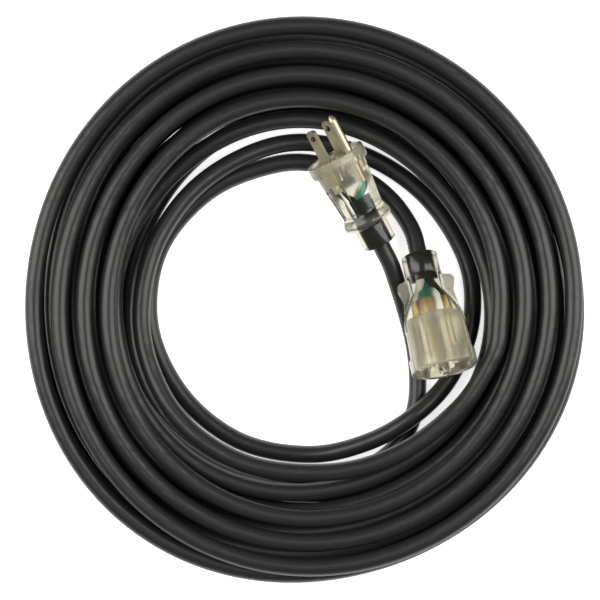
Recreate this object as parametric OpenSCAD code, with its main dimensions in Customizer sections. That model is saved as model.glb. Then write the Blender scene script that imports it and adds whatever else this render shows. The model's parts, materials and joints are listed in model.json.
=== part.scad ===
// Extension cord with clear moulded ends, wound into a round hank that lies flat.
// Millimetres, +Z up. The origin is on the floor, under the middle of the hank.

/* [Cord] */
// outside diameter of the jacket
cord_d = 9.3; // [8.9:0.1:9.4]
// diameter of one insulated wire inside the jacket
wire_d = 3.3; // [3:0.1:3.4]
// diameter of a wire's bared copper strands
strand_d = 1.8; // [1.4:0.1:2]

/* [Hank] */
// height from one layer of loops to the next
layer_rise = 9.75; // [9.75:0.05:10.5]
// depth that the loops on the floor are flattened by their own weight
flat = 0.93; // [0.5:0.01:1]
// how far the first quarter loop is drawn in towards the plug's lead
lead_in = 4.5; // [3:0.5:5]

/* [Blades and pin] */
// spacing of the two blades, and of the slots that take them
blade_gap = 12.7; // [12.4:0.1:13]
// distance from the blades' line to the ground pin
pin_offset = 11.9; // [11.5:0.1:12.1]
// width of a blade
blade_w = 6.35; // [6:0.05:6.5]
// thickness of a blade
blade_t = 1.52; // [1.4:0.02:1.6]
// length of a blade in front of the plug's face
blade_out = 17.5; // [16:0.1:18]
// diameter of the hole through each blade
blade_hole_d = 3.2; // [2.8:0.1:3.4]
// distance from the plug's face to the blades' holes
blade_hole_out = 13.2; // [12:0.1:14]
// diameter of the ground pin
pin_d = 4.76; // [4.6:0.02:4.9]
// length of the ground pin in front of the plug's face
pin_out = 20.6; // [19:0.1:21.5]
// diameter of the pin's root, which the plug holds
pin_root_d = 4.2; // [4:0.1:4.4]
// outside diameter of the barrel that is crimped onto a wire
crimp_d = 3.7; // [3.5:0.1:4]

/* [Plug] */
// length of the clear body, from its face to the end of its sleeve
plug_len = 52.5; // [50:0.5:56]
// radius of the flange at the face
plug_flange_r = 15.8; // [15.5:0.1:17]
// thickness of the flange
plug_flange_t = 6.6; // [6:0.1:8]
// radius of the body just behind the flange
plug_front_r = 13.9; // [13.6:0.1:14.5]
// radius of the body at its waist
plug_waist_r = 11.3; // [10.8:0.1:12]
// distance from the face to the waist
plug_waist_at = 32; // [31:0.5:33]
// radius of the finger rest behind the waist
plug_rest_r = 13.2; // [12.5:0.1:14]
// distance from the face to the widest place of the finger rest
plug_rest_at = 37.8; // [37:0.1:39]
// radius of the strain relief sleeve
sleeve_r = 9.2; // [8:0.1:9.6]
// radius of the round cutter of a grip flute
flute_r = 1.85; // [1.5:0.05:2]
// depth of a grip flute
flute_depth = 2.5; // [1.8:0.1:2.6]
// angle from the ground pin to the flutes beside it
flute_a = 66; // [62:1:70]
// distance from the face to a flute's front end
flute_from = 14.8; // [14:0.1:16]
// distance from the face to a flute's rear end
flute_to = 32.9; // [32:0.1:34]
// distance from the face to the end of the jacket inside the plug
plug_strip = 25; // [24:0.5:27]
// radius of the inner bridge's plate
bridge_r = 14.3; // [14.1:0.1:14.5]
// thickness of the bridge's plate
bridge_t = 4; // [3:0.1:5]
// depth of the bridge's blade holders
holder_depth = 12; // [11:0.1:12.5]

/* [Connector] */
// length of the clear body, from its collar's end to its face
conn_len = 63; // [62:0.5:64]
// radius of the collar round the cord
collar_r = 9.6; // [8.8:0.1:9.8]
// length of the collar
collar_len = 11.5; // [10:0.5:12]
// radius of the round neck between the fins
neck_r = 8.5; // [8.2:0.1:8.8]
// radius of the body behind the flange
conn_front_r = 16.3; // [16:0.1:16.6]
// radius of the flange at the face
conn_flange_r = 17.4; // [17:0.1:18]
// thickness of the flange
conn_flange_t = 7.5; // [6:0.5:8]
// thickness of the two flat finger fins
fin_t = 7.5; // [6:0.5:8]
// half width over the tips of the fins
fin_tip = 15.1; // [14.6:0.1:15.6]
// half width over the fins' waist
fin_waist = 13.4; // [13:0.1:13.8]
// distance from the face to the end of the jacket inside the connector
conn_strip = 49; // [48:0.5:50]
// radius of the inner contact block
block_r = 13.2; // [12.8:0.1:13.6]
// length of the contact block
block_len = 28; // [26:0.5:28]
// length of the slot for the line blade
line_slot = 7.6; // [7.2:0.1:8]
// length of the slot for the neutral blade
neutral_slot = 8.6; // [8.3:0.1:9]
// width of both blade slots
slot_w = 2.4; // [2.2:0.1:2.8]
// diameter of the hole for the ground pin
pin_hole_d = 5.4; // [5.2:0.1:5.8]
// depth of the front wall that has the slots and the hole
wall_t = 5; // [4:0.5:6]
// thickness of the contacts' sheet brass
sheet_t = 0.6; // [0.5:0.1:0.8]

/* [Fit] */
// clearance round each piece that is moulded in
fit = 0.1; // [0.05:0.05:0.15]

/* [Hidden] */
$fn = 64;

// Colours of the pieces.
jacket_black = [0.11, 0.11, 0.115];
clear_pvc = [0.80, 0.78, 0.70, 0.55];
ivory = [0.86, 0.83, 0.72];
nickel = [0.62, 0.58, 0.46];
brass = [0.74, 0.60, 0.28];
copper = [0.75, 0.42, 0.26];
green = [0.25, 0.60, 0.47];
white = [0.88, 0.87, 0.82];
black = [0.12, 0.12, 0.12];

// The hank's own centre, placed so that the whole part is centred on the origin.
hank_at = [-2.8, -0.5, 0];

// The hank winds clockwise in four layers: out along the floor, in, out and in again.
coil_start = -95;
layer_turns = [4.35, 4.45, 4.15, 3.295];
layer_r = [94.5, 142, 98, 141.75, 100];
climb_turns = 0.5;
climb_bow_out = 3;
climb_bow_in = 4;
lead_in_turns = 0.25;
last_layer = len(layer_turns) - 1;

// A hand-wound layer lies a little off centre, oval and wavy: [x, y], then [size, direction].
layer_shift = [[2.5, -3.5], [0.5, -0.5], [2.5, 0], [4.5, -1]];
layer_oval = [[2.5, 80], [0, 0], [1, 110], [2, 90]];
layer_wave = [[0.8, 100], [1.2, 80], [2, 110], [0.6, 110]];

rings_per_loop = 24;
loop_sides = 6;
lead_sides = 8;
rings_per_span = 2;
axis_z = cord_d / 2 - flat;

// Where the plug's face and the connector's rear end lie, and which way they point.
plug_at = [17.3, 75.6, 27];
plug_yaw = 118;
plug_tilt = 12;
plug_roll = 40;
conn_at = [62, 23.6, 13.7];
conn_yaw = -78;
conn_tilt = 17.5;

// Route of the plug's lead, from the plug down to the floor and into the first loop.
plug_route = [
    [51.1, 8.2, 9.4], [56, -7, 5], [60, -23, axis_z], [61.8, -39, axis_z], [61, -55, axis_z],
    [56, -69.5, axis_z], [46.5, -81, axis_z], [33.5, -89, axis_z], [18.5, -92.9, axis_z]
];

// Route of the connector's lead inside the hank, as [angle, radius, height]: it comes down
// in the first round, humps over the plug's lead in the second, and runs up to the connector.
conn_rounds = [
    [-17, 103, 33], [-34, 98.8, 33], [-57, 93.6, 33], [-81, 89.7, 32.3], [-110, 88.7, 30.2],
    [-138, 87.8, 26.8], [-168, 84.6, 22], [-199, 81.8, 17.2], [-230, 81.2, 12.8], [-262, 83.5, 7.6],
    [-290, 84, 3.9], [-318, 86, axis_z], [-345, 90, axis_z], [-366, 91, axis_z], [-386, 88.7, 7],
    [-404, 84.9, 13.8], [-424, 82.3, 10.2], [-447, 81.4, 4.1], [-474, 81, axis_z],
    [-502, 80.4, axis_z], [-531, 81, axis_z], [-560, 79.7, axis_z], [-590, 75.8, axis_z],
    [-620, 73.6, axis_z]
];
conn_end = [[14.2, 71.6, axis_z], [34, 64.1, axis_z], [46, 55.2, 4.3], [54.7, 44.3, 6.6]];

function mix(a, b, s) = a + (b - a) * s;
function ease(u) = u * u * (3 - 2 * u);
function unit(v) = v / norm(v);
function polar(p) = [p[1] * cos(p[0]), p[1] * sin(p[0]), p[2]];
function sum_to(v, n) = n > 0 ? v[n - 1] + sum_to(v, n - 1) : 0;
function heading(yaw, tilt) = [cos(tilt) * cos(yaw), cos(tilt) * sin(yaw), sin(tilt)];

// ---- the wound loops ----

function layer_from(k) = sum_to(layer_turns, k) + k * climb_turns;
function layer_at(t, k = 0) = k == last_layer || t < layer_from(k + 1) ? k : layer_at(t, k + 1);
function wander(k, a) =
    layer_shift[k][0] * cos(a) + layer_shift[k][1] * sin(a)
    + layer_oval[k][0] * cos(2 * (a - layer_oval[k][1]))
    + layer_wave[k][0] * cos(3 * (a - layer_wave[k][1]));

// Axis of the cord after t turns.
function coil_point(t) =
    let (
        k = layer_at(t),
        next = min(k + 1, last_layer),
        done = t - layer_from(k),
        run = min(1, done / layer_turns[k]),
        climb = max(0, min(1, (done - layer_turns[k]) / climb_turns)),
        up = ease(climb),
        a = coil_start - 360 * t,
        bow = layer_r[k + 1] > layer_r[k] ? climb_bow_out : -climb_bow_in,
        drawn_in = lead_in * pow(max(0, 1 - t / lead_in_turns), 2),
        r = mix(layer_r[k], layer_r[k + 1], run) + bow * sin(180 * climb)
            + mix(wander(k, a), wander(next, a), up) - drawn_in
    )
    [r * cos(a), r * sin(a), axis_z + layer_rise * (k + up)];

coil_turns = layer_from(last_layer) + layer_turns[last_layer];
coil_rings = round(coil_turns * rings_per_loop);
tangent_step = 0.0005;
coil_in_dir = unit(coil_point(tangent_step) - coil_point(0));
coil_out_dir = unit(coil_point(coil_turns) - coil_point(coil_turns - tangent_step));
coil_loops = [for (i = [0 : coil_rings]) coil_point(coil_turns * i / coil_rings)];
coil_in = coil_loops[0] - cord_d * coil_in_dir;
coil_out = coil_loops[coil_rings] + cord_d * coil_out_dir;
coil_path = concat([coil_in], coil_loops, [coil_out]);

// ---- the free leads ----

// Smooth curve through the points p, which leaves along d0 and arrives along d1.
function curve_point(a, b, c, d, s) =
    0.5 * (2 * b + (c - a) * s + (2 * a - 5 * b + 4 * c - d) * s * s
    + (3 * b - a - 3 * c + d) * s * s * s);
function curve(p, d0, d1, steps) =
    let (
        n = len(p),
        before = p[1] - 2 * norm(p[1] - p[0]) * d0,
        after = p[n - 2] + 2 * norm(p[n - 1] - p[n - 2]) * d1,
        q = concat([before], p, [after])
    )
    concat(
        [for (i = [1 : n - 1], s = [0 : steps - 1])
            curve_point(q[i - 1], q[i], q[i + 1], q[i + 2], s / steps)],
        [p[n - 1]]
    );

plug_dir = heading(plug_yaw, plug_tilt);
conn_dir = heading(conn_yaw, conn_tilt);
plug_tail = plug_at - plug_len * plug_dir;
plug_path = concat(
    [plug_tail],
    curve(concat([plug_tail - cord_d * plug_dir], plug_route, [coil_in]),
        -plug_dir, coil_in_dir, rings_per_span)
);
conn_path = concat(
    curve(concat([coil_out], [for (p = conn_rounds) polar(p)], conn_end,
        [conn_at - cord_d * conn_dir]), coil_out_dir, conn_dir, rings_per_span),
    [conn_at]
);

// ---- least gaps, measured on the axes' points ----

function to_segment(p, a, b) =
    let (s = max(0, min(1, (p - a) * (b - a) / ((b - a) * (b - a)))))
    norm(p - mix(a, b, s));
function least_gap(a, b, skip) =
    min([for (i = [0 : len(a) - 1], j = [0 : len(b) - 2])
        if (abs(i - j) > skip) to_segment(a[i], b[j], b[j + 1])]) - cord_d;
function path_len(p) = len(p) < 2 ? 0
    : sum_to([for (i = [1 : len(p) - 1]) norm(p[i] - p[i - 1])], len(p) - 1);

// ---- swept tubes ----

function ring(p, dir, across, r, sides) =
    let (x = unit(cross(dir, across)), y = cross(x, dir))
    [for (i = [0 : sides - 1])
        let (a = 270 + (i + 0.5) * 360 / sides)
        p + r * (cos(a) * x + sin(a) * y)];

function on_floor(v) = [v[0], v[1], max(0, v[2])];

// One closed tube along a path. across is a direction that the path never takes.
module tube(path, d, sides, d0, d1, across = [0, 0, 1], floored = false) {
    last = len(path) - 1;
    dirs = [for (i = [0 : last])
        i == 0 ? d0 : i == last ? d1 : unit(unit(path[i + 1] - path[i]) + unit(path[i] - path[i - 1]))];
    rings = [for (i = [0 : last]) each ring(path[i], dirs[i], across, d / 2, sides)];
    skin = [for (i = [0 : last - 1], k = [0 : sides - 1])
        let (a = i * sides + k, b = i * sides + (k + 1) % sides)
        each [[a, b, b + sides], [a, b + sides, a + sides]]];
    tail = last * sides;
    caps = [for (k = [1 : sides - 2])
        each [[0, k + 1, k], [tail, tail + k, tail + k + 1]]];
    polyhedron(floored ? [for (v = rings) on_floor(v)] : rings, concat(skin, caps));
}

module hank() {
    translate(hank_at) children();
}

module cord_coil() {
    echo(coil_gap = least_gap(coil_path, coil_path, rings_per_loop / 2));
    color(jacket_black)
    hank()
    tube(coil_path, cord_d, loop_sides, coil_in_dir, coil_out_dir, floored = true);
}

module plug_lead() {
    echo(plug_lead_gap = min(least_gap(plug_path, [for (i = [2 : coil_rings]) coil_path[i]], -1),
        least_gap(plug_path, conn_path, -1)));
    color(jacket_black)
    hank()
    tube(plug_path, cord_d, lead_sides, -plug_dir, coil_in_dir, floored = true);
}

module connector_lead() {
    echo(connector_lead_gap = min(least_gap([for (i = [2 : len(conn_path) - 1]) conn_path[i]],
        coil_loops, -1), least_gap(conn_path, conn_path, 8)));
    echo(cord_length = path_len(coil_path) + path_len(plug_path) + path_len(conn_path));
    color(jacket_black)
    hank()
    tube(conn_path, cord_d, lead_sides, coil_out_dir, conn_dir, floored = true);
}

// ---- frames of the two ends: face at z = 0, blades along +z, ground towards +y ----

module at_end(place, yaw, tilt, roll) {
    hank() translate(place) rotate([0, 90 - tilt, yaw]) rotate(roll) children();
}

module at_plug() {
    at_end(plug_at, plug_yaw, plug_tilt, 90 + plug_roll) children();
}

module at_conn() {
    at_end(conn_at + conn_len * conn_dir, conn_yaw, conn_tilt, -90) children();
}

// Places of the blades and the pin on each face: the plug's pattern sits high on its face,
// the connector's is centred.
blade_x = blade_gap / 2;
plug_blade_y = -1;
plug_pin_y = plug_blade_y + pin_offset;
conn_blade_y = -3.5;
conn_pin_y = conn_blade_y + pin_offset;

// The wires lie in a triangle inside the jacket.
lay_r = 1.95;
lay_x = lay_r * cos(30);
lay_y = lay_r / 2;

edge_r = 0.6;
overcut = 1;

module barrel(x, y, from, to, bore_to) {
    translate([x, y, from])
    difference() {
        cylinder(d = crimp_d, h = to - from);
        translate([0, 0, -overcut]) cylinder(d = strand_d + 2 * fit, h = bore_to - from + overcut);
    }
}

module stadium(x, y, from, to, w, l) {
    translate([x, y, from])
    linear_extrude(to - from) {
        square([w, l - w], center = true);
        for (s = [-1, 1]) translate([0, s * (l - w) / 2]) circle(d = w);
    }
}

// A wire from the jacket's end to its crimp, in the plane that its bend lies in.
wire_steps = 3;
function wire_path(a, b, z0, z1) =
    curve([[a[0], a[1], z0], [mix(a[0], b[0], 0.2), mix(a[1], b[1], 0.2), mix(z0, z1, 0.3)],
        [mix(a[0], b[0], 0.8), mix(a[1], b[1], 0.8), mix(z0, z1, 0.7)], [b[0], b[1], z1]],
        [0, 0, 1], [0, 0, 1], wire_steps);

module wire(a, b, z0, z1, grow = 0) {
    path = wire_path(a, b, z0, z1);
    side = abs(b[0] - a[0]) > abs(b[1] - a[1]) ? [0, 1, 0] : [1, 0, 0];
    tube(path, wire_d + 2 * grow, lead_sides, [0, 0, 1], [0, 0, 1], side);
}

// ---- plug ----

plug_crimp_z = [-17.6, -13.4];
plug_crimp_y = 10.3;
plug_places = [
    [[lay_x, -lay_y], [blade_x, plug_blade_y]],
    [[-lay_x, -lay_y], [-blade_x, plug_blade_y]],
    [[0, lay_r], [0, plug_crimp_y]]
];
strand_in = 3;
pin_boss_d = 6.6;
holder_w = 4.8;
holder_l = 9.6;
rest_corner = 2.9;
blade_root = 13.6;
pin_root = plug_flange_t;

module plug_wire(i, grow = 0) {
    wire(plug_places[i][0], plug_places[i][1], -plug_strip, plug_crimp_z[0], grow);
}

module blade(x, pierced = true) {
    tip = 1.4;
    translate([x - blade_t / 2, plug_blade_y, 0])
    rotate([90, 0, 90])
    linear_extrude(blade_t)
    difference() {
        polygon([
            [-blade_w / 2, -blade_root], [blade_w / 2, -blade_root],
            [blade_w / 2, blade_out - tip], [blade_w / 2 - tip, blade_out],
            [-blade_w / 2 + tip, blade_out], [-blade_w / 2, blade_out - tip]
        ]);
        if (pierced) translate([0, blade_hole_out]) circle(d = blade_hole_d);
    }
    barrel(x, plug_blade_y, plug_crimp_z[0], plug_crimp_z[1], plug_crimp_z[0] + strand_in);
}

module line_blade() {
    color(nickel) at_plug() blade(blade_x);
}

module neutral_blade() {
    color(nickel) at_plug() blade(-blade_x);
}

module pin_solid() {
    nose = 3.4;
    nose_r = 0.9;
    shoulder = pin_root + 0.3;
    translate([0, plug_pin_y, -pin_root])
    rotate_extrude()
    polygon(concat(
        [[0, 0], [pin_root_d / 2, 0], [pin_root_d / 2, shoulder], [pin_d / 2, shoulder],
            [pin_d / 2, pin_root + pin_out - nose]],
        [for (s = [0.25 : 0.25 : 1])
            [mix(pin_d / 2, nose_r, pow(s, 2)), pin_root + pin_out - nose + nose * s]],
        [[0, pin_root + pin_out]]
    ));
}

module ground_pin() {
    color(nickel)
    at_plug() {
        pin_solid();
        barrel(0, plug_crimp_y, plug_crimp_z[0], -pin_root + edge_r, plug_crimp_z[0] + strand_in);
    }
}

module bridge_solid(grow) {
    translate([0, 0, -bridge_t - grow]) cylinder(r = bridge_r + grow, h = bridge_t + grow);
    for (s = [-1, 1])
        stadium(s * blade_x, plug_blade_y, -holder_depth - grow, -bridge_t / 2,
            holder_w + 2 * grow, holder_l + 2 * grow);
    translate([0, plug_pin_y, -plug_flange_t + edge_r - grow])
    cylinder(d = pin_boss_d + 2 * grow, h = plug_flange_t - edge_r - bridge_t / 2);
}

module plug_bridge() {
    color(ivory)
    at_plug()
    difference() {
        bridge_solid(0);
        for (s = [-1, 1])
            translate([s * blade_x, plug_blade_y, -holder_depth / 2])
            cube([blade_t + 2 * fit, blade_w + 2 * fit, holder_depth + 2 * overcut], center = true);
        translate([0, plug_pin_y, -plug_flange_t - overcut])
        cylinder(d = pin_root_d + 2 * fit, h = plug_flange_t + 2 * overcut);
    }
}

function plug_r(z) = mix(plug_front_r, plug_waist_r,
    (z - plug_flange_t) / (plug_waist_at - plug_flange_t));

module plug_skin() {
    rest_steps = 6;
    corner_step = 15;
    rotate_extrude()
    polygon(concat(
        [[0, 0], [plug_flange_r - edge_r, 0], [plug_flange_r, -edge_r],
            [plug_flange_r, -plug_flange_t], [plug_front_r, -plug_flange_t]],
        [for (i = [0 : rest_steps])
            [mix(plug_waist_r, plug_rest_r, ease(i / rest_steps)),
                -mix(plug_waist_at, plug_rest_at, i / rest_steps)]],
        [for (a = [corner_step : corner_step : 90])
            [plug_rest_r - rest_corner * (1 - cos(a)), -plug_rest_at - rest_corner * sin(a)]],
        [[sleeve_r, -plug_rest_at - rest_corner], [sleeve_r, -plug_len + edge_r],
            [sleeve_r - edge_r, -plug_len], [0, -plug_len]]
    ));
}

// A flute is a round cutter with ball ends that follows the body's taper.
module flute() {
    z0 = flute_from + flute_r;
    z1 = flute_to - flute_r;
    r0 = plug_r(z0) + flute_r - flute_depth;
    r1 = plug_r(z1) + flute_r - flute_depth;
    slope = atan((r0 - r1) / (z1 - z0));
    run = (z1 - z0) / cos(slope);
    translate([0, r1, -z1])
    rotate([-slope, 0, 0])
    rotate_extrude()
    intersection() {
        union() {
            circle(r = flute_r);
            translate([-flute_r, 0]) square([2 * flute_r, run]);
            translate([0, run]) circle(r = flute_r);
        }
        translate([0, -flute_r]) square([flute_r, run + 2 * flute_r]);
    }
}

module plug_body() {
    color(clear_pvc)
    at_plug()
    difference() {
        plug_skin();
        for (a = [flute_a, 180 - flute_a], s = [-1, 1]) rotate(s * a) flute();
        bridge_solid(fit);
        translate([0, 0, -plug_len - overcut])
        cylinder(d = cord_d + 2 * fit, h = plug_len - plug_strip + overcut + fit);
        for (i = [0 : 2]) plug_wire(i, fit);
        for (s = [-1, 1]) {
            translate([s * blade_x, plug_blade_y, plug_crimp_z[0] - fit])
            cylinder(d = crimp_d + 2 * fit, h = plug_crimp_z[1] - plug_crimp_z[0] + 2 * fit);
            translate([s * blade_x, plug_blade_y, -blade_root / 2 - fit])
            cube([blade_t + 2 * fit, blade_w + 2 * fit, blade_root], center = true);
        }
        translate([0, plug_crimp_y, plug_crimp_z[0] - fit])
        cylinder(d = crimp_d + 2 * fit, h = -pin_root - plug_crimp_z[0] + bridge_t);
        translate([0, plug_pin_y, -pin_root - fit]) cylinder(d = pin_root_d + 2 * fit, h = pin_root);
    }
}

module plug_jacket_end() {
    color(jacket_black)
    at_plug()
    translate([0, 0, -plug_len]) cylinder(d = cord_d, h = plug_len - plug_strip);
}

module plug_line_wire() {
    color(black) at_plug() plug_wire(0);
}

module plug_neutral_wire() {
    color(white) at_plug() plug_wire(1);
}

module plug_ground_wire() {
    color(green) at_plug() plug_wire(2);
}

module strands(places, from) {
    for (p = places)
        translate([p[1][0], p[1][1], from]) cylinder(d = strand_d, h = strand_in - fit);
}

module plug_copper_strands() {
    color(copper) at_plug() strands(plug_places, plug_crimp_z[0]);
}

// ---- connector ----

conn_crimp_z = [-36.6, -block_len];
conn_places = [
    [[-lay_x, -lay_y], [-blade_x, conn_blade_y]],
    [[lay_x, -lay_y], [blade_x, conn_blade_y]],
    [[0, lay_r], [0, conn_pin_y]]
];
contact_w = 6.6;
contact_gap = 1.9;
contact_front = 0.4;
spring_bore_d = 4.9;
spring_slit = 1;

module conn_wire(i, grow = 0) {
    wire(conn_places[i][0], conn_places[i][1], -conn_strip, conn_crimp_z[0], grow);
}

// Round core of the connector: collar, neck, swelling body and flange.
module conn_core() {
    neck_end = -42;
    swell_end = -23;
    swell_steps = 6;
    rotate_extrude()
    polygon(concat(
        [[0, -conn_len], [collar_r - edge_r, -conn_len], [collar_r, -conn_len + edge_r],
            [collar_r, -conn_len + collar_len], [neck_r, -conn_len + collar_len]],
        [for (i = [0 : swell_steps])
            let (s = i / swell_steps)
            [mix(neck_r, conn_front_r - edge_r, sin(90 * s)), mix(neck_end, swell_end, s)]],
        [[conn_front_r, -conn_flange_t], [conn_flange_r, -conn_flange_t],
            [conn_flange_r, -edge_r], [conn_flange_r - edge_r, 0], [0, 0]]
    ));
}

// Plan outline of the two flat fins, with round tips.
module fin_outline() {
    top = -conn_len + collar_len;
    tip_r = 3.2;
    tip_z = -46;
    waist_z = -40.2;
    flare = 0.7;
    flare_z = -34;
    end_z = -28;
    for (s = [-1, 1]) {
        translate([s * (fin_tip - tip_r), tip_z]) circle(r = tip_r);
        polygon([
            [0, top], [s * (collar_r - 1), top], [s * (fin_tip - tip_r - 1), tip_z + tip_r * -0.95],
            [s * fin_tip, tip_z], [s * fin_waist, waist_z], [s * (fin_waist + flare), flare_z],
            [s * (conn_front_r - 1), end_z], [0, end_z + 2]
        ]);
    }
}

module connector_body() {
    color(clear_pvc)
    at_conn()
    difference() {
        union() {
            conn_core();
            rotate([90, 0, 0]) linear_extrude(fin_t, center = true) fin_outline();
        }
        translate([0, 0, -block_len - fit]) cylinder(r = block_r + fit, h = block_len + fit + overcut);
        translate([0, 0, -conn_len - overcut])
        cylinder(d = cord_d + 2 * fit, h = conn_len - conn_strip + overcut + fit);
        for (i = [0 : 2]) {
            conn_wire(i, fit);
            translate([conn_places[i][1][0], conn_places[i][1][1], conn_crimp_z[0] - fit])
            cylinder(d = crimp_d + 2 * fit, h = conn_crimp_z[1] - conn_crimp_z[0] + fit);
        }
    }
}

module contact_block() {
    spring_d = spring_bore_d + 2 * sheet_t;
    clip_d = contact_gap + 2 * sheet_t;
    color(ivory)
    at_conn()
    difference() {
        translate([0, 0, -block_len]) cylinder(r = block_r, h = block_len);
        for (side = [[-1, line_slot], [1, neutral_slot]]) {
            translate([side[0] * blade_x, conn_blade_y, 0])
            cube([slot_w, side[1], 2 * (wall_t + overcut)], center = true);
            translate([side[0] * blade_x, conn_blade_y, -(block_len + overcut + wall_t) / 2])
            cube([clip_d + 2 * fit, contact_w + 2 * fit, block_len + overcut - wall_t], center = true);
        }
        translate([0, conn_pin_y, -wall_t - overcut]) cylinder(d = pin_hole_d, h = wall_t + 2 * overcut);
        translate([0, conn_pin_y, -block_len - overcut])
        cylinder(d = spring_d + 2 * fit, h = block_len + overcut - wall_t);
    }
}

// A blade contact is a folded clip of two leaves, with its crimp behind.
module clip(x) {
    outer = contact_gap + 2 * sheet_t;
    front = -wall_t - contact_front;
    translate([x, conn_blade_y, 0])
    rotate([90, 0, 0])
    linear_extrude(contact_w, center = true)
    difference() {
        translate([-outer / 2, -block_len]) square([outer, block_len + front]);
        translate([-contact_gap / 2, -block_len + sheet_t]) square([contact_gap, block_len]);
    }
    barrel(x, conn_blade_y, conn_crimp_z[0], conn_crimp_z[1] + sheet_t / 2, conn_crimp_z[0] + strand_in);
}

module line_contact() {
    color(brass) at_conn() clip(-blade_x);
}

module neutral_contact() {
    color(brass) at_conn() clip(blade_x);
}

// The ground contact is a slit spring tube.
module ground_contact() {
    front = -wall_t - contact_front;
    color(brass)
    at_conn() {
        translate([0, conn_pin_y, -block_len])
        difference() {
            cylinder(d = spring_bore_d + 2 * sheet_t, h = block_len + front);
            translate([0, 0, sheet_t]) cylinder(d = spring_bore_d, h = block_len);
            translate([0, spring_bore_d / 2, block_len / 2 + 2 * sheet_t])
            cube([spring_slit, spring_bore_d, block_len], center = true);
        }
        barrel(0, conn_pin_y, conn_crimp_z[0], conn_crimp_z[1] + sheet_t / 2, conn_crimp_z[0] + strand_in);
    }
}

module connector_jacket_end() {
    color(jacket_black)
    at_conn()
    translate([0, 0, -conn_len]) cylinder(d = cord_d, h = conn_len - conn_strip);
}

module connector_line_wire() {
    color(black) at_conn() conn_wire(0);
}

module connector_neutral_wire() {
    color(white) at_conn() conn_wire(1);
}

module connector_ground_wire() {
    color(green) at_conn() conn_wire(2);
}

module connector_copper_strands() {
    color(copper) at_conn() strands(conn_places, conn_crimp_z[0]);
}

cord_coil();
plug_lead();
connector_lead();
plug_body();
plug_bridge();
plug_jacket_end();
line_blade();
neutral_blade();
ground_pin();
plug_line_wire();
plug_neutral_wire();
plug_ground_wire();
plug_copper_strands();
connector_body();
contact_block();
connector_jacket_end();
line_contact();
neutral_contact();
ground_contact();
connector_line_wire();
connector_neutral_wire();
connector_ground_wire();
connector_copper_strands();
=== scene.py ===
"""Looks of a wound extension cord with a clear moulded plug and connector.

The part lies on a white floor and is seen from straight above. Lengths are in metres.
"""
import json
import math

import bpy
from mathutils import Matrix, Vector

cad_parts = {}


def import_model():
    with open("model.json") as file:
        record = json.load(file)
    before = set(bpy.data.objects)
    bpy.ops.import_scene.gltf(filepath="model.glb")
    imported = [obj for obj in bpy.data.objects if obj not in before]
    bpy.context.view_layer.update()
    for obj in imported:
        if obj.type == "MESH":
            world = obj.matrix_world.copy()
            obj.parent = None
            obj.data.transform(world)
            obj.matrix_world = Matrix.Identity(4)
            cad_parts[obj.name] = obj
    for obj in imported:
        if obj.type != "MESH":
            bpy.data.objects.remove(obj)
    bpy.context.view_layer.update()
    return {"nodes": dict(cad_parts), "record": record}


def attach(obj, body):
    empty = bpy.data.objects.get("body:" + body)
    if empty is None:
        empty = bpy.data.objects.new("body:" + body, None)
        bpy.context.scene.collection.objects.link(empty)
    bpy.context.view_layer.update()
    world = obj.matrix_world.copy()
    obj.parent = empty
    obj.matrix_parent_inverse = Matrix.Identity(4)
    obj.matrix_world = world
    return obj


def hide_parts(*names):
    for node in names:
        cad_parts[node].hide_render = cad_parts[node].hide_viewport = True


MM = 0.001
ROOT = "root"
CREASE = 35  # degrees: a sharper edge isn't smoothed
HAZE, TONE_AND_SHADE = "haze", "tone"  # values on the skins' points: how milky, and how light; the dark tone on the connector's fins is painted shade

# ---- the cord and its hank, as in the part's source; angles in degrees ----
CORD_D = 0.0093
FLAT = 0.00093
LAYER_RISE = 0.00975
LEAD_IN = 0.0045
HANK_AT = Vector((-0.0028, -0.0005, 0))
AXIS_Z = CORD_D / 2 - FLAT

COIL_START = -95
LAYER_TURNS = (4.35, 4.45, 4.15, 3.295)
LAYER_R = (0.0945, 0.142, 0.098, 0.14175, 0.1)
CLIMB_TURNS = 0.5
CLIMB_BOW_OUT = 0.003
CLIMB_BOW_IN = 0.004
LEAD_IN_TURNS = 0.25
LAYER_SHIFT = ((0.0025, -0.0035), (0.0005, -0.0005), (0.0025, 0), (0.0045, -0.001))
LAYER_OVAL = ((0.0025, 80), (0, 0), (0.001, 110), (0.002, 90))
LAYER_WAVE = ((0.0008, 100), (0.0012, 80), (0.002, 110), (0.0006, 110))
LAST_LAYER = len(LAYER_TURNS) - 1
POINTS_PER_LOOP = 144
POINTS_PER_SPAN = 10
CORD_SIDES = 20
AT_LAYER = 1e-9  # turns: how close counts as the start of a layer

# ---- the two ends ----
PLUG_AT = Vector((0.0173, 0.0756, 0.027))
PLUG_YAW, PLUG_TILT, PLUG_ROLL = 118, 12, 130
PLUG_LEN = 0.0525
CONN_AT = Vector((0.062, 0.0236, 0.0137))
CONN_YAW, CONN_TILT, CONN_ROLL = -78, 17.5, -90
CONN_LEN = 0.063

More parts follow.
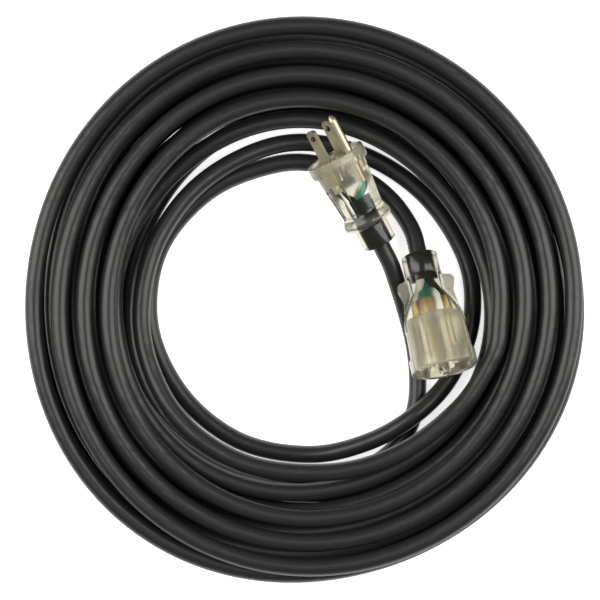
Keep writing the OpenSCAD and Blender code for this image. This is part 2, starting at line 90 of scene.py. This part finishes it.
PLUG_ROUTE = (
    (0.0511, 0.0082, 0.0094), (0.056, -0.007, 0.005), (0.060, -0.023, AXIS_Z),
    (0.0618, -0.039, AXIS_Z), (0.061, -0.055, AXIS_Z), (0.056, -0.0695, AXIS_Z),
    (0.0465, -0.081, AXIS_Z), (0.0335, -0.089, AXIS_Z), (0.0185, -0.0929, AXIS_Z),
)
CONN_ROUNDS = (  # angle in degrees, radius, height
    (-17, 0.103, 0.033), (-34, 0.0988, 0.033), (-57, 0.0936, 0.033), (-81, 0.0897, 0.0323),
    (-110, 0.0887, 0.0302), (-138, 0.0878, 0.0268), (-168, 0.0846, 0.022),
    (-199, 0.0818, 0.0172), (-230, 0.0812, 0.0128), (-262, 0.0835, 0.0076),
    (-290, 0.084, 0.0039), (-318, 0.086, AXIS_Z), (-345, 0.090, AXIS_Z), (-366, 0.091, AXIS_Z),
    (-386, 0.0887, 0.007), (-404, 0.0849, 0.0138), (-424, 0.0823, 0.0102),
    (-447, 0.0814, 0.0041), (-474, 0.081, AXIS_Z), (-502, 0.0804, AXIS_Z),
    (-531, 0.081, AXIS_Z), (-560, 0.0797, AXIS_Z), (-590, 0.0758, AXIS_Z),
    (-620, 0.0736, AXIS_Z),
)
CONN_END = (
    (0.0142, 0.0716, AXIS_Z), (0.034, 0.0641, AXIS_Z), (0.046, 0.0552, 0.0043),
    (0.0547, 0.0443, 0.0066),
)

# ---- the camera: straight above, with a view VIEW_W wide at the height VIEW_H ----
CAMERA_H = 1.2
VIEW_H = 0.024
VIEW_W = 0.3125
SENSOR = 36.0  # in millimetres
VIEW_CENTRE = (-0.0033, 0)
CLIP_END = 10

# ---- light and floor ----
BOX_POWER = 13
BOX_SIZE = (0.7, 1.4)
LEFT_BOX_AT, RIGHT_BOX_AT = (-0.9, 0.1, 0.95), (0.9, 0.1, 0.95)
WARM = (0.99, 1, 0.93)
WORLD = 0.15
FLOOR_HALF = 3.0
FLOOR_GLOW = 0.76
FLOOR_GLOW_THROUGH = 1.0  # for rays that have passed through the clear plastic


def sin(a):
    return math.sin(math.radians(a))


def cos(a):
    return math.cos(math.radians(a))


def mix(a, b, s):
    return a + (b - a) * s


def ease(u):
    return u * u * (3 - 2 * u)


def heading(yaw, tilt):
    return Vector((cos(tilt) * cos(yaw), cos(tilt) * sin(yaw), sin(tilt)))


# ---------------------------------------------------------------- camera

def make_camera():
    data = bpy.data.cameras.new("camera")
    data.sensor_width = SENSOR
    data.lens = SENSOR * (CAMERA_H - VIEW_H) / VIEW_W
    data.clip_end = CLIP_END
    camera = bpy.data.objects.new("camera", data)
    camera.location = (VIEW_CENTRE[0], VIEW_CENTRE[1], CAMERA_H)
    bpy.context.scene.collection.objects.link(camera)
    bpy.context.scene.camera = camera


# ---------------------------------------------------------------- meshes

def smooth(mesh):
    mesh.shade_smooth()
    mesh.set_sharp_from_angle(angle=math.radians(CREASE))


def link(name, verts, faces):
    mesh = bpy.data.meshes.new(name)
    mesh.from_pydata([tuple(v) for v in verts], [], faces)
    mesh.validate()
    smooth(mesh)
    obj = bpy.data.objects.new(name, mesh)
    bpy.context.scene.collection.objects.link(obj)
    return obj


def grid_faces(rings, sides):
    """The quads between rings of points, one after another."""
    return [
        (i * sides + k, i * sides + (k + 1) % sides,
         (i + 1) * sides + (k + 1) % sides, (i + 1) * sides + k)
        for i in range(rings - 1) for k in range(sides)
    ]


# ---------------------------------------------------------------- the cord

def layer_from(k):
    """Turns of the hank at the start of layer k."""
    return sum(LAYER_TURNS[:k]) + k * CLIMB_TURNS


def wander(k, a):
    """How far layer k strays from its circle at angle a."""
    shift, oval, wave = LAYER_SHIFT[k], LAYER_OVAL[k], LAYER_WAVE[k]
    return (shift[0] * cos(a) + shift[1] * sin(a)
            + oval[0] * cos(2 * (a - oval[1])) + wave[0] * cos(3 * (a - wave[1])))


def coil_point(t):
    """Axis of the cord after t turns of the hank."""
    k = max(i for i in range(LAST_LAYER + 1) if t >= layer_from(i) - AT_LAYER)
    after = min(k + 1, LAST_LAYER)
    done = t - layer_from(k)
    run = min(1, done / LAYER_TURNS[k])
    climb = max(0, min(1, (done - LAYER_TURNS[k]) / CLIMB_TURNS))
    up = ease(climb)
    a = COIL_START - 360 * t
    bow = CLIMB_BOW_OUT if LAYER_R[k + 1] > LAYER_R[k] else -CLIMB_BOW_IN
    drawn_in = LEAD_IN * max(0, 1 - t / LEAD_IN_TURNS) ** 2
    r = (mix(LAYER_R[k], LAYER_R[k + 1], run) + bow * sin(180 * climb)
         + mix(wander(k, a), wander(after, a), up) - drawn_in)
    return Vector((r * cos(a), r * sin(a), AXIS_Z + LAYER_RISE * (k + up)))


def curve(points, d0, d1, steps):
    """Smooth curve through the points, which leaves along d0 and arrives along d1."""
    p = [Vector(v) for v in points]
    before = p[1] - 2 * (p[1] - p[0]).length * d0
    after = p[-2] + 2 * (p[-1] - p[-2]).length * d1
    q = [before] + p + [after]
    out = []
    for i in range(1, len(p)):
        a, b, c, d = q[i - 1:i + 3]
        for j in range(steps):
            s = j / steps
            out.append(0.5 * (2 * b + (c - a) * s + (2 * a - 5 * b + 4 * c - d) * s * s
                              + (3 * b - a - 3 * c + d) * s ** 3))
    return out + [p[-1]]


def cord_path():
    """The whole cord's axis, from the plug's sleeve to the connector's collar."""
    turns = layer_from(LAST_LAYER) + LAYER_TURNS[LAST_LAYER]
    count = round(turns * POINTS_PER_LOOP)
    loops = [coil_point(turns * i / count) for i in range(count + 1)]
    step = 0.0005  # turns
    d_in = (coil_point(step) - coil_point(0)).normalized()
    d_out = (coil_point(turns) - coil_point(turns - step)).normalized()
    plug_dir, conn_dir = heading(PLUG_YAW, PLUG_TILT), heading(CONN_YAW, CONN_TILT)
    plug_tail = PLUG_AT - PLUG_LEN * plug_dir
    rounds = [Vector((r * cos(a), r * sin(a), z)) for a, r, z in CONN_ROUNDS]
    plug_lead = curve(
        [plug_tail - CORD_D * plug_dir, *PLUG_ROUTE, loops[0] - CORD_D * d_in],
        -plug_dir, d_in, POINTS_PER_SPAN)
    conn_lead = curve(
        [loops[-1] + CORD_D * d_out, *rounds, *CONN_END, CONN_AT - CORD_D * conn_dir],
        d_out, conn_dir, POINTS_PER_SPAN)
    path = [plug_tail] + plug_lead + loops + conn_lead + [CONN_AT]
    return [p + HANK_AT for p in path]


def sweep(name, path, diameter, sides):
    """A closed tube along the path, flattened where it lies on the floor."""
    verts = []
    last = len(path) - 1
    for i, p in enumerate(path):
        way = (path[min(i + 1, last)] - path[max(i - 1, 0)]).normalized()
        x = way.cross(Vector((0, 0, 1))).normalized()
        y = x.cross(way)
        for k in range(sides):
            a = 360 * k / sides
            v = p + diameter / 2 * (cos(a) * x + sin(a) * y)
            v.z = max(v.z, 0)
            verts.append(v)
    faces = grid_faces(len(path), sides)
    faces.append(tuple(reversed(range(sides))))
    faces.append(tuple(last * sides + k for k in range(sides)))
    return link(name, verts, faces)


def path_length(path):
    return sum((b - a).length for a, b in zip(path, path[1:]))


# ---------------------------------------------------------------- turned skins

EDGE = 0.6 * MM
MID_R = 0.05 * MM  # the row that stands for a skin's middle
JACKET_R, JACKET_IN = 4.55 * MM, 2 * MM  # the hole for the jacket, and its depth


def at_end(place, yaw, tilt, roll):
    return (Matrix.Translation(place + HANK_AT)
            @ Matrix.Rotation(math.radians(yaw), 4, "Z")
            @ Matrix.Rotation(math.radians(90 - tilt), 4, "Y")
            @ Matrix.Rotation(math.radians(roll), 4, "Z"))


def turned(name, rows, radius, look, matrix, sides):
    """A closed skin from rows of (radius, z).

    radius(r, z, a) shapes a row round its axis. look(r, z, added) says how milky and how light
    the plastic is, where the shaping added that much to the radius; the lightness also holds
    painted shade.
    """
    verts, looks = [], []
    for r, z in rows:
        for k in range(sides):
            a = 360 * k / sides
            shaped = radius(r, z, a)
            verts.append(matrix @ Vector((shaped * cos(a), shaped * sin(a), z)))
            looks.append(look(shaped, z, shaped - r))
    faces = [tuple(reversed(f)) for f in grid_faces(len(rows), sides)]
    faces.append(tuple(range(sides)))
    last = (len(rows) - 1) * sides
    faces.append(tuple(last + k for k in reversed(range(sides))))
    obj = link(name, verts, faces)
    for attribute, values in zip((HAZE, TONE_AND_SHADE), zip(*looks)):
        obj.data.attributes.new(attribute, "FLOAT", "POINT").data.foreach_set("value", values)
    return obj


def fade(x, x0, x1):
    """From 0 at x0 to 1 at x1."""
    return ease(max(0, min(1, (x - x0) / (x1 - x0))))


def span(a, b, n):
    """n + 1 pairs (radius, z) from a to b."""
    return [(mix(a[0], b[0], i / n), mix(a[1], b[1], i / n)) for i in range(n + 1)]


def corner(r, z, edge, from_a, to_a, n=4):
    """Pairs along a round corner whose centre is (r, z)."""
    return [(r + edge * cos(mix(from_a, to_a, i / n)), z + edge * sin(mix(from_a, to_a, i / n)))
            for i in range(n + 1)]


def flange(outer, depth, behind):
    """The rows of a flange of that radius and depth, down to the radius behind it."""
    half = EDGE / 2
    return (corner(outer - EDGE, -EDGE, EDGE, 90, 0)
            + corner(outer - half, -depth + half, half, 0, -90, 3)
            + corner(behind + half, -depth - half, half, 90, 180, 3))


def sleeve_end(outer, length):
    """The rows of a sleeve's end, with the hole for the jacket."""
    hole = -length + JACKET_IN
    return (corner(outer - EDGE, -length + EDGE, EDGE, 0, -90)
            + [(JACKET_R, -length), (JACKET_R, hole), (MID_R, hole)])


# ---- plug ----

FLUTE_R, FLUTE_DEPTH, FLUTE_A = 1.85 * MM, 2.5 * MM, 66
FLUTE_FROM, FLUTE_TO = 14.8 * MM, 32.9 * MM
FLUTE_REACH = 60  # degrees to each side of a flute
PLUG_FRONT_R, PLUG_WAIST_R = 13.9 * MM, 11.3 * MM
PLUG_FLANGE_T, PLUG_WAIST_AT = 6.6 * MM, 32 * MM
PLUG_SIDES = 180

PLUG_MILK_REAR, PLUG_MILK_FRONT, PLUG_MILK_REST = 0.01, 0.2, 0.1
PLUG_TONE_REAR, PLUG_TONE_FRONT = 0.45, 0.75
PLUG_FRONT_Z = (-22 * MM, -6 * MM)
FINGER_REST_R, FINGER_REST_Z = (11.6 * MM, 12.8 * MM), (-33 * MM, -37 * MM)


def plug_taper(z):
    s = (-z - PLUG_FLANGE_T) / (PLUG_WAIST_AT - PLUG_FLANGE_T)
    return mix(PLUG_FRONT_R, PLUG_WAIST_R, s)


def fluted(r, z, a):
    """The plug's radius at angle a from the blades' line, cut by its four grip flutes."""
    first, last = -FLUTE_FROM - FLUTE_R, -FLUTE_TO + FLUTE_R
    beyond = max(0, z - first, last - z)
    if beyond >= FLUTE_R:
        return r
    cutter = math.sqrt(FLUTE_R ** 2 - beyond ** 2)
    axis_r = plug_taper(max(last, min(first, z))) + FLUTE_R - FLUTE_DEPTH
    for flute in (FLUTE_A, 180 - FLUTE_A, -FLUTE_A, FLUTE_A - 180):
        off = (a - 90 - flute + 180) % 360 - 180
        reach = axis_r * sin(off)
        if abs(off) < FLUTE_REACH and abs(reach) < cutter:
            r = min(r, axis_r * cos(off) - math.sqrt(cutter ** 2 - reach ** 2))
    return r


def plug_look(r, z, added):
    front = fade(z, *PLUG_FRONT_Z)
    finger_rest = fade(r, *FINGER_REST_R) * fade(z, *FINGER_REST_Z)
    milk = mix(mix(PLUG_MILK_REAR, PLUG_MILK_FRONT, front), PLUG_MILK_REST, finger_rest)
    return milk, mix(PLUG_TONE_REAR, PLUG_TONE_FRONT, front)


def make_plug_skin():
    flange_r, bridge_r, bridge_t = 15.8 * MM, 14.25 * MM, 3.9 * MM
    rest_r, rest_at, rest_corner = 13.2 * MM, 37.8 * MM, 2.9 * MM
    sleeve_r, lip = 9.2 * MM, 0.05 * MM
    rest_end = rest_at + rest_corner
    taper_rows, rest_rows = 90, 16
    rows = [(MID_R, -bridge_t), (bridge_r, -bridge_t), (bridge_r, 0)]
    rows += flange(flange_r, PLUG_FLANGE_T, PLUG_FRONT_R)
    rows += span((PLUG_FRONT_R - lip, -PLUG_FLANGE_T - EDGE), (PLUG_WAIST_R, -PLUG_WAIST_AT),
                 taper_rows)
    for i in range(1, rest_rows + 1):
        s = i / rest_rows
        rows.append((mix(PLUG_WAIST_R, rest_r, ease(s)), -mix(PLUG_WAIST_AT, rest_at, s)))
    rows += corner(rest_r - rest_corner, -rest_at, rest_corner, -6, -90, 10)
    rows += [(sleeve_r + EDGE / 2, -rest_end), (sleeve_r, -rest_end - EDGE / 2)]
    rows += sleeve_end(sleeve_r, PLUG_LEN)
    matrix = at_end(PLUG_AT, PLUG_YAW, PLUG_TILT, PLUG_ROLL)
    return turned("plug_skin", rows, fluted, plug_look, matrix, PLUG_SIDES)


# ---- connector ----

CONNECTOR_SIDES = 240
FIN_T, FIN_FILLET = 7.5 * MM, 1.2 * MM
FIN_OUTLINE = (  # distance behind the face, half width over the fins, in millimetres
    (51.5, 8.6), (49.6, 10.4), (49.1, 12.4), (48.8, 13.4), (48.2, 14.2), (47.4, 14.8),
    (46.5, 15.05), (45.8, 15.1), (45, 14.9), (44, 14.5), (42, 13.9), (40.2, 13.4), (37, 13.7),
    (34, 14.1), (28, 15.3), (23, 15.7),
)
LEAST = 1e-3  # keeps the fins' flat sides finite

# On the connector's fins, more haze and a dark tone are painted shade; the fins themselves are
# clear like the rest.
CONN_MILK_REAR, CONN_MILK_FRONT, FIN_SHADE_HAZE = 0.01, 0.14, 0.4
CONN_TONE_REAR, CONN_TONE_FRONT, FIN_SHADE_TONE = 0.4, 1, 0
CONN_FRONT_Z = (-38 * MM, -28 * MM)
FIN_ADDED = (0.7 * MM, 2.5 * MM)


def fin_width(z):
    """Half width over the two fins at height z, or nothing outside them."""
    back = -z / MM
    for (s0, w0), (s1, w1) in zip(FIN_OUTLINE, FIN_OUTLINE[1:]):
        if s1 <= back <= s0:
            return mix(w0, w1, (s0 - back) / (s0 - s1)) * MM
    return 0


def smooth_max(a, b, k):
    """The greater of a and b, rounded over k where they are close."""
    h = max(0, k - abs(a - b)) / k
    return max(a, b) + h * h * k / 4


def finned(r, z, a):
    """The connector's radius at angle a, where two flat fins stand out of its round core."""
    w = fin_width(z)
    if w == 0:
        return r
    flat = min(w / max(abs(cos(a)), LEAST), FIN_T / 2 / max(abs(sin(a)), LEAST))
    return smooth_max(r, flat, FIN_FILLET)


def connector_look(r, z, added):
    front = fade(z, *CONN_FRONT_Z)
    # Where the fins stand out, the haze and the dark tone are painted shade, not milkier
    # plastic.
    fin_shade = fade(added, *FIN_ADDED)
    return (mix(mix(CONN_MILK_REAR, CONN_MILK_FRONT, front), FIN_SHADE_HAZE, fin_shade),
            mix(mix(CONN_TONE_REAR, CONN_TONE_FRONT, front), FIN_SHADE_TONE, fin_shade))


def make_connector_skin():
    block_r, block_len = 13.15 * MM, 27.9 * MM
    flange_r, flange_t, front_r = 17.4 * MM, 7.5 * MM, 16.3 * MM
    collar_r, collar_len, neck_r = 9.6 * MM, 11.5 * MM, 8.5 * MM
    neck_end, swell_end, gap = 42 * MM, 23 * MM, 0.2 * MM
    collar_end = -CONN_LEN + collar_len
    front_rows, swell_rows, neck_rows = 20, 40, 36
    rows = [(MID_R, -block_len), (block_r, -block_len), (block_r, 0)]
    rows += flange(flange_r, flange_t, front_r)
    rows += span((front_r, -flange_t - EDGE), (front_r - EDGE, -swell_end), front_rows)
    for i in range(1, swell_rows + 1):
        s = 1 - i / swell_rows
        rows.append((mix(neck_r, front_r - EDGE, sin(90 * s)), -mix(neck_end, swell_end, s)))
    rows += span((neck_r, -neck_end - gap), (neck_r, collar_end + gap), neck_rows)
    rows += [(collar_r - EDGE / 3, collar_end), (collar_r, collar_end - EDGE / 2)]
    rows += sleeve_end(collar_r, CONN_LEN)
    face = CONN_AT + CONN_LEN * heading(CONN_YAW, CONN_TILT)
    matrix = at_end(face, CONN_YAW, CONN_TILT, CONN_ROLL)
    return turned("connector_skin", rows, finned, connector_look, matrix, CONNECTOR_SIDES)


# ---------------------------------------------------------------- materials

def plain(name, color, roughness, metallic=0.0, specular=0.5, bumps=()):
    """A plain finish, whose bumps are noises given by (strength, scale, depth)."""
    mat = bpy.data.materials.new(name)
    mat.use_nodes = True
    nodes, links = mat.node_tree.nodes, mat.node_tree.links
    shader = nodes["Principled BSDF"]
    shader.inputs["Base Color"].default_value = (*color, 1)
    shader.inputs["Roughness"].default_value = roughness
    shader.inputs["Metallic"].default_value = metallic
    shader.inputs["Specular IOR Level"].default_value = specular
    normal = shader.inputs["Normal"]
    for strength, scale, depth in bumps:
        coords = nodes.new("ShaderNodeTexCoord")
        grain = nodes.new("ShaderNodeTexNoise")
        grain.inputs["Scale"].default_value = scale
        bump = nodes.new("ShaderNodeBump")
        bump.inputs["Strength"].default_value = strength
        bump.inputs["Distance"].default_value = depth
        links.new(coords.outputs["Object"], grain.inputs["Vector"])
        links.new(grain.outputs["Fac"], bump.inputs["Height"])
        links.new(bump.outputs["Normal"], normal)
        normal = bump.inputs["Normal"]
    return mat


def clear(name, color, roughness, transmission, ior=1.5, bumps=()):
    """A see-through plastic."""
    mat = plain(name, color, roughness, bumps=bumps)
    shader = mat.node_tree.nodes["Principled BSDF"]
    shader.inputs["IOR"].default_value = ior
    shader.inputs["Transmission Weight"].default_value = transmission
    return mat


def uneven(mat, dark):
    """Lets a see-through plastic turn milky or dark where its skin's haze and tone values say
    so; the dark on the connector's fins is painted shade.
    """
    nodes, links = mat.node_tree.nodes, mat.node_tree.links
    shader = nodes["Principled BSDF"]
    milk = nodes.new("ShaderNodeAttribute")
    milk.attribute_name = HAZE
    clearness = nodes.new("ShaderNodeMath")
    clearness.operation = "SUBTRACT"
    clearness.inputs[0].default_value = 1
    links.new(milk.outputs["Fac"], clearness.inputs[1])
    links.new(clearness.outputs[0], shader.inputs["Transmission Weight"])
    tone = nodes.new("ShaderNodeAttribute")
    tone.attribute_name = TONE_AND_SHADE
    tone_and_shade_mix = nodes.new("ShaderNodeMix")
    tone_and_shade_mix.data_type = "RGBA"
    # By place, because a Mix node's sockets for numbers and for colours share their names.
    factor, at_none, at_full = (tone_and_shade_mix.inputs[i] for i in (0, 6, 7))
    at_none.default_value = (*dark, 1)
    at_full.default_value = shader.inputs["Base Color"].default_value
    links.new(tone.outputs["Fac"], factor)
    links.new(tone_and_shade_mix.outputs[2], shader.inputs["Base Color"])
    return mat


def make_materials():
    jacket_bumps = ((0.12, 900, 0.0002), (0.4, 55, 0.002))
    waves = ((0.15, 160, 0.001),)
    brushed = ((0.1, 400, 0.0002),)
    stranded = ((0.4, 400, 0.0002),)
    return {
        "jacket_black": plain("jacket_black", (0.019, 0.019, 0.020), 0.36, bumps=jacket_bumps),
        "jacket_moulded_in": plain(
            "jacket_moulded_in", (0.01, 0.01, 0.011), 0.5, specular=0.05),
        # The dark colour is painted shade on the connector's fins; the skins also lean towards
        # it towards the rear.
        "clear_pvc": uneven(
            clear("clear_pvc", (0.84, 0.81, 0.69), 0.2, 0.9, bumps=waves), (0.47, 0.45, 0.37)),
        "inner_moulding": clear("inner_moulding", (0.97, 0.95, 0.84), 0.05, 0.95, ior=1.1),
        "blade_metal": plain("blade_metal", (0.62, 0.56, 0.40), 0.42, 1, bumps=brushed),
        "contact_brass": plain("contact_brass", (0.34, 0.23, 0.085), 0.3, 1, bumps=brushed),
        "strand_copper": plain("strand_copper", (0.72, 0.36, 0.20), 0.35, 1, bumps=stranded),
        "wire_green": plain("wire_green", (0.05, 0.40, 0.28), 0.5, specular=0.1),
        "wire_white": plain("wire_white", (0.82, 0.80, 0.74), 0.5, specular=0.1),
        "wire_black": plain("wire_black", (0.012, 0.012, 0.012), 0.5, specular=0.05),
    }


# ---------------------------------------------------------------- light and floor

def softbox(name, place):
    data = bpy.data.lights.new(name, "AREA")
    data.shape = "RECTANGLE"
    data.size, data.size_y = BOX_SIZE
    data.energy = BOX_POWER
    data.color = WARM
    light = bpy.data.objects.new(name, data)
    light.location = place
    light.rotation_euler = (-Vector(place)).to_track_quat("-Z", "Y").to_euler()
    bpy.context.scene.collection.objects.link(light)


def floor_white():
    """White paper that looks blown out to the camera, and still takes the part's shadow."""
    mat = plain("floor_white", (0.9, 0.9, 0.9), 0.9, specular=0.1)
    nodes, links = mat.node_tree.nodes, mat.node_tree.links
    path = nodes.new("ShaderNodeLightPath")
    glow = None
    for ray, strength in (("Is Camera Ray", FLOOR_GLOW), ("Is Glossy Ray", FLOOR_GLOW),
                          ("Is Transmission Ray", FLOOR_GLOW_THROUGH)):
        level = nodes.new("ShaderNodeMath")
        level.operation = "MULTIPLY"
        level.inputs[1].default_value = strength
        links.new(path.outputs[ray], level.inputs[0])
        if glow:
            most = nodes.new("ShaderNodeMath")
            most.operation = "MAXIMUM"
            links.new(glow.outputs[0], most.inputs[0])
            links.new(level.outputs[0], most.inputs[1])
            level = most
        glow = level
    shader = nodes["Principled BSDF"]
    shader.inputs["Emission Color"].default_value = (1, 1, 1, 1)
    links.new(glow.outputs[0], shader.inputs["Emission Strength"])
    return mat


def make_floor():
    h = FLOOR_HALF
    floor = link("floor", [(-h, -h, 0), (h, -h, 0), (h, h, 0), (-h, h, 0)], [(0, 1, 2, 3)])
    floor.data.materials.append(floor_white())


def make_world():
    """A plain grey sky, which looks white through the clear plastic."""
    world = bpy.data.worlds.new("world")
    bpy.context.scene.world = world
    world.use_nodes = True
    sky = world.node_tree.nodes["Background"]
    sky.inputs["Color"].default_value = (1, 1, 1, 1)
    path = world.node_tree.nodes.new("ShaderNodeLightPath")
    level = world.node_tree.nodes.new("ShaderNodeMath")
    level.operation = "MULTIPLY_ADD"
    level.inputs[1].default_value = 1 - WORLD
    level.inputs[2].default_value = WORLD
    world.node_tree.links.new(path.outputs["Is Transmission Ray"], level.inputs[0])
    world.node_tree.links.new(level.outputs[0], sky.inputs["Strength"])


def make_lights():
    softbox("left_box", LEFT_BOX_AT)
    softbox("right_box", RIGHT_BOX_AT)


# ---------------------------------------------------------------- the scene

def main():
    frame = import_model()
    bpy.context.scene.view_settings.view_transform = "Standard"
    make_camera()

    path = cord_path()
    cord = sweep("cord", path, CORD_D, CORD_SIDES)
    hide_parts("cord_coil", "plug_lead", "connector_lead")
    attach(cord, ROOT)

    plug_skin = make_plug_skin()
    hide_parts("plug_body")
    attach(plug_skin, ROOT)
    connector_skin = make_connector_skin()
    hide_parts("connector_body")
    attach(connector_skin, ROOT)

    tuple(path[0])
    path_length(path)

    materials = make_materials()
    slots = {p["node"]: p["material_slot"] for p in frame["record"]["subparts"]}
    slots.update(cord="jacket_black", plug_skin="clear_pvc", connector_skin="clear_pvc")
    finish = dict(slots, plug_jacket_end="jacket_moulded_in",
                  connector_jacket_end="jacket_moulded_in")
    for obj in [*frame["nodes"].values(), cord, plug_skin, connector_skin]:
        obj.data.materials.clear()
        obj.data.materials.append(materials[finish[obj.name]])
    for obj in frame["nodes"].values():
        smooth(obj.data)

    make_floor()
    make_world()
    make_lights()


main()
